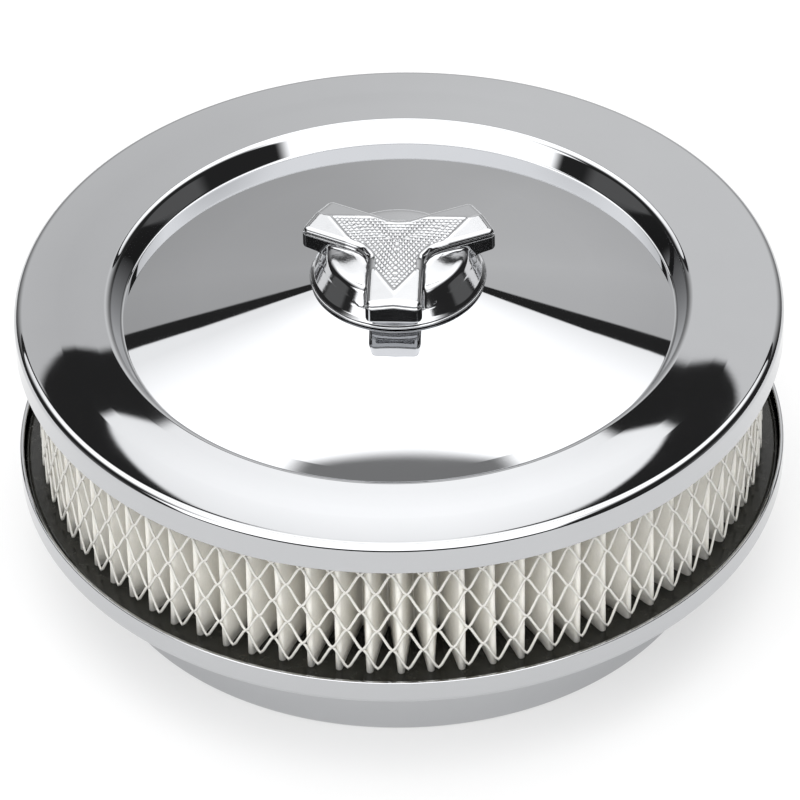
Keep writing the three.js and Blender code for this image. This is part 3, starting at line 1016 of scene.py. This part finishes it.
def nut_top(x, y, share):
    """Height of the nut's top face and how pebbled it is. The face is a low three-sided
    pyramid; outside a triangle its sides fall away faster. Inside the triangle stand rows of
    small round pebbles in a shallow sunk panel with a fine raised border."""
    turn = (-np.pi / 6 + np.arange(3) * 2 * np.pi / 3)[:, None, None]
    out = x[None] * np.cos(turn) + y[None] * np.sin(turn)
    along = -x[None] * np.sin(turn) + y[None] * np.cos(turn)
    facet = np.argmax(out, axis=0)[None]
    q = np.take_along_axis(out, facet, 0)[0]
    t = np.take_along_axis(along, facet, 0)[0]
    edge = PANEL_REACH / 2
    height = NUT_HIGH[2] - PANEL_DROP - PANEL_SLOPE * q
    height = height - MARGIN_SLOPE * np.maximum(q - edge, 0)
    near_outline = smooth(OUTLINE_EDGE - share, 0.0, OUTLINE_FADE)
    inside = smooth(edge - q, *PANEL_EDGE) * near_outline
    inside = inside * smooth(PANEL_REACH - PANEL_TIP - np.hypot(x, y), 0.0, PANEL_TIP)
    pitch = sizes().stipple_pitch / MM
    row = np.floor(q / pitch)
    dq = q / pitch - row - 0.5
    dt = (t / pitch + 0.5 * (row % 2)) % 1.0 - 0.5
    pebble = np.clip(1 - (dq ** 2 + dt ** 2) / PEBBLE_SPREAD, 0, 1) ** PEBBLE_POWER
    border = np.exp(-((q - edge) / BORDER[0]) ** 2) * near_outline
    height = height + inside * (PEBBLE * pebble - PANEL_SINK) + BORDER[1] * border
    return height, inside


def nut_shell():
    """The whole nut as one skin of rings. From the centre of the top face the rings widen to the
    Y outline, go over a grooved edge and down the arms' sides, run in under the arms to the
    bell, out over the bell to the flange, and back under it into the bore."""
    line = arm_outline()
    side = side_of(line)
    if (side * line).sum() < 0:
        side = -side
    reach = np.hypot(line[:, 0], line[:, 1])
    ray = line / reach[:, None]
    hollow = 1 - smooth(reach, *HOLLOW_REACH)
    inset = line - side * EDGE_ROUND
    share = np.linspace(0, 1, NUT_ROWS)[1:, None]
    x, y = share * inset[None, :, 0], share * inset[None, :, 1]
    top, pebbled = nut_top(x, y, share)
    rows = list(np.stack([x, y, top], -1))

    def add(points, height):
        rows.append(np.column_stack([points, np.broadcast_to(height, len(points))]))

    rim = top[-1]
    for inward, drop in EDGE_STEPS:
        add(push_out(line - side * inward, rim - drop), rim - drop)
    lowest = ARM_BOTTOM + HOLLOW_LIFT * hollow
    shoulder = rim - EDGE_STEPS[-1][1]
    for t in np.linspace(*SIDE_SPAN, SIDE_RINGS):
        height = shoulder + (lowest + UNDER_STEPS[0][1] - shoulder) * t
        add(push_out(line, height), height)
    for inward, lift in UNDER_STEPS:
        height = lowest + lift
        add(push_out(line - side * (inward * (1 - hollow))[:, None], height), height)
    start = rows[-1][:, :2]
    target = ray * bell_radius(UNDER_ARM)
    for t in np.linspace(0, 1, UNDER_RINGS)[1:]:
        height = lowest + (UNDER_ARM - lowest) * t
        flare = ray * bell_radius(height)[:, None]
        under = start + (target - start) * t
        add(flare * hollow[:, None] + under * (1 - hollow[:, None]),
            height - UNDER_SAG * t * (1 - t) * (1 - hollow))
    for height in np.linspace(UNDER_ARM, FLANGE_TOP, BELL_RINGS)[1:-1]:
        add(ray * bell_radius(height), height)
    boss = WASHER_HIGH[2] + BOSS_GAP
    flange = rounded([(FLANGE_RADIUS - FLANGE_LIP, FLANGE_TOP + 0.02),
                      (FLANGE_RADIUS, *FLANGE_SIDE), (FLANGE_RADIUS, NUT_LOW[2], 0.25),
                      (HOLLOW_RADII[1], HOLLOW_ROOF, 0.8),
                      (HOLLOW_RADII[0], HOLLOW_ROOF, INSIDE_BEND),
                      (HOLLOW_RADII[0], boss, INSIDE_BEND), (SOCKET[0], boss, INSIDE_BEND),
                      (*SOCKET, INSIDE_BEND), (POLE, SOCKET[1])], closed=False, step=12.0)
    for radius, height in flange:
        add(ray * radius, height)
    marks = np.zeros(len(rows) * len(line) + 2)
    marks[:pebbled.size] = pebbled.ravel()
    marks[-2] = 1.0
    return (np.stack(rows), [(0, 0, top[0].mean()), (0, 0, SOCKET[1])]), marks


class AIRFILTER_OT_nut(Operator):
    """Tri-bar nut with its pebbled top"""

    bl_idname = "air_filter.nut"
    bl_label = "Tri-bar Nut"

    def execute(self, context):
        shell, marks = nut_shell()
        nut = piece("tri_bar_nut", [shell], chrome_casting_finish(), "nut",
                    "chrome_casting", "wing_nut")
        pebbled = nut.data.attributes.new("pebbled", "FLOAT", "POINT")
        pebbled.data.foreach_set("value", marks.astype(np.float32))
        return {"FINISHED"}


# ---- Studio ----

# Lights end in soft edges: a direction in degrees where one is dark, and where it is bright.
GAP = (42.2, 0.085, -0.0045)  # height, tilt and curve of the dark gap over the wall
GAP_EDGE = (1.3, 1.7)
WALL_SLOPES = (("lateral", -48.0, 2.0, 0.0, 1.0), ("lateral", 8.0, 50.0, 1.0, 0.0),
               ("angle", 12.0, 30.0, 0.68, 1.0))
SEAM_CURVE = 0.018
SEAM_EDGES = (("bent", 66.3, 67.2), ("bent", 71.6, 70.8), ("width", 22.0, 18.0))
SEAM_SHADE = 0.88
SOFTBOX_SLOPE = ("angle", 43.0, 56.0, 0.62, 1.0)
SOFTBOX_EDGES = (("angle", 125.0, 115.0), ("lateral", -50.0, -26.0), ("lateral", 44.0, 24.0))
FRONT_EDGES = (("angle", 104.0, 120.0), ("angle", 162.0, 160.0), ("lateral", -62.0, -56.0),
               ("lateral", 43.0, 36.0))
END_EDGE = ("width", 70.0, 76.0)
END_LIGHT = 0.12
DARK = 0.03
FLOOR_RINGS = (0.02, 0.2, 0.6, 1.5, 4.0)  # radii in metres
FLOOR_LEVEL = -0.0002  # in metres, just under the neck's rim
LID_MIDDLE = 61.6
AIM_SHIFT = -0.2


class Sky(Nodes):
    """The studio round the housing as a world shader. Angle is measured from the level behind
    the housing, up over it, to the level in front; lateral is the angle to the right of that
    arc's plane. Both are in degrees."""

    def __init__(self, turn):
        world = bpy.data.worlds.new("studio")
        bpy.context.scene.world = world
        super().__init__(world)
        rotate = self.nodes.new("ShaderNodeVectorRotate")
        rotate.rotation_type = "Z_AXIS"
        self.feed(rotate.inputs["Angle"], -turn)
        self.feed(rotate.inputs["Vector"],
                  self.node("ShaderNodeTexCoord").outputs["Generated"])
        x, y, z = self.node("ShaderNodeSeparateXYZ", Vector=rotate.outputs[0]).outputs
        angle = self.math("DEGREES", self.math("ARCTAN2", z, y))
        lateral = self.math("DEGREES", self.math("ARCSINE", x))
        square = self.math("MULTIPLY", lateral, lateral)
        level, tilt, curve = GAP
        gap = self.total(level, self.product(tilt, lateral), self.product(curve, square))
        self.places = {"angle": angle, "lateral": lateral,
                       "width": self.math("ABSOLUTE", lateral),
                       "bent": self.total(angle, self.product(SEAM_CURVE, square)),
                       "past_gap": self.math("SUBTRACT", angle, gap)}

    def inside(self, *edges):
        return self.product(*[self.edge(self.places[name], *ends) for name, *ends in edges])

    def slopes(self, *slopes):
        return self.product(*[self.span(self.places[name], *ends) for name, *ends in slopes])


def studio_sky():
    """A pale wall behind that fades to both sides, a narrow dark gap above it, a softbox
    overhead with a dim curved seam across it, a wider one in front, and dim ends."""
    look = studio()
    sky = Sky(look.turn)
    near, far = GAP_EDGE
    wall = sky.product(look.wall, sky.inside(("past_gap", -near, -far)),
                       sky.slopes(*WALL_SLOPES))
    seam = sky.product(SEAM_SHADE, sky.inside(*SEAM_EDGES))
    softbox = sky.product(look.softbox, sky.inside(("past_gap", near, far), *SOFTBOX_EDGES),
                          sky.slopes(SOFTBOX_SLOPE), sky.math("SUBTRACT", 1.0, seam))
    front = sky.product(look.softbox, sky.inside(*FRONT_EDGES))
    ends = sky.product(END_LIGHT, sky.inside(END_EDGE))
    light = sky.nodes["Background"]
    sky.feed(light.inputs["Strength"],
             sky.total(DARK, wall, sky.math("MAXIMUM", softbox, front), ends))
    sky.feed(light.inputs["Color"], rgba((1.0, 1.0, 1.0)))


def studio_floor():
    """A large flat disc that the housing's rim stands on."""
    outline = np.array([(radius, FLOOR_LEVEL) for radius in FLOOR_RINGS])
    points = np.vstack([turned(outline, SMALL_ROUND).reshape(-1, 3), [[0, 0, FLOOR_LEVEL]]])
    quads = grid_faces(len(outline), SMALL_ROUND, False)
    centre = fan_faces(len(points) - 1, 0, SMALL_ROUND)[:, ::-1]
    mesh = bpy.data.meshes.new("floor")
    mesh.from_pydata(points.tolist(), [], quads[:, ::-1].tolist() + centre.tolist())
    mesh.materials.append(floor_finish())
    linked("floor", mesh)


def studio_camera():
    """A long lens that looks down at the housing from the front."""
    look = studio()
    data = bpy.data.cameras.new("camera")
    data.lens = look.lens
    data.clip_end = 20.0
    camera = linked("camera", data)
    back = Vector((0, -np.cos(look.elevation), np.sin(look.elevation)))
    turn = Matrix.Rotation(look.turn, 3, "Z")
    place = Vector((0, 0, LID_MIDDLE * MM)) + turn @ back * look.distance
    target = Vector((0, 0, look.aim)) + turn @ Vector((AIM_SHIFT * MM, 0, 0))
    sight = (target - place).to_track_quat("-Z", "Y").to_matrix()
    camera.matrix_world = Matrix.Translation(place) @ (
        sight @ Matrix.Rotation(look.roll, 3, "Z")).to_4x4()
    bpy.context.scene.camera = camera


class AIRFILTER_OT_studio(Operator):
    """Floor, light and camera"""

    bl_idname = "air_filter.studio"
    bl_label = "Studio"

    def execute(self, context):
        studio_floor()
        studio_sky()
        studio_camera()
        context.scene.view_settings.view_transform = "Standard"
        return {"FINISHED"}


# ---- Add-on ----

PIECES = (AIRFILTER_OT_pressed_steel, AIRFILTER_OT_element, AIRFILTER_OT_small_parts,
          AIRFILTER_OT_nut)


class AIRFILTER_PT_sidebar(Panel):
    """Sizes, finishes and the operators that build the housing"""

    bl_idname = "AIRFILTER_PT_sidebar"
    bl_label = "Air Filter Housing"
    bl_space_type = "VIEW_3D"
    bl_region_type = "UI"
    bl_category = "Air Filter"

    def draw(self, context):
        column = self.layout.column()
        for group in (sizes(), finishes(), studio()):
            for name in group.__annotations__:
                column.prop(group, name)
        for operator in (*PIECES, AIRFILTER_OT_studio):
            column.operator(operator.bl_idname)


CLASSES = (AirFilterSizes, AirFilterFinishes, AirFilterStudio, *PIECES,
           AIRFILTER_OT_studio, AIRFILTER_PT_sidebar)


GROUPS = {"air_filter_sizes": AirFilterSizes, "air_filter_finishes": AirFilterFinishes,
          "air_filter_studio": AirFilterStudio}


def register():
    for item in CLASSES:
        bpy.utils.register_class(item)
    for name, group in GROUPS.items():
        setattr(bpy.types.Scene, name, PointerProperty(type=group))


def unregister():
    for name in GROUPS:
        delattr(bpy.types.Scene, name)
    for item in reversed(CLASSES):
        bpy.utils.unregister_class(item)


def main():
    register()
    bpy.ops.air_filter.pressed_steel()
    bpy.ops.air_filter.element()
    bpy.ops.air_filter.small_parts()
    bpy.ops.air_filter.nut()
    bpy.ops.air_filter.studio()


if __name__ == "__main__":
    main()
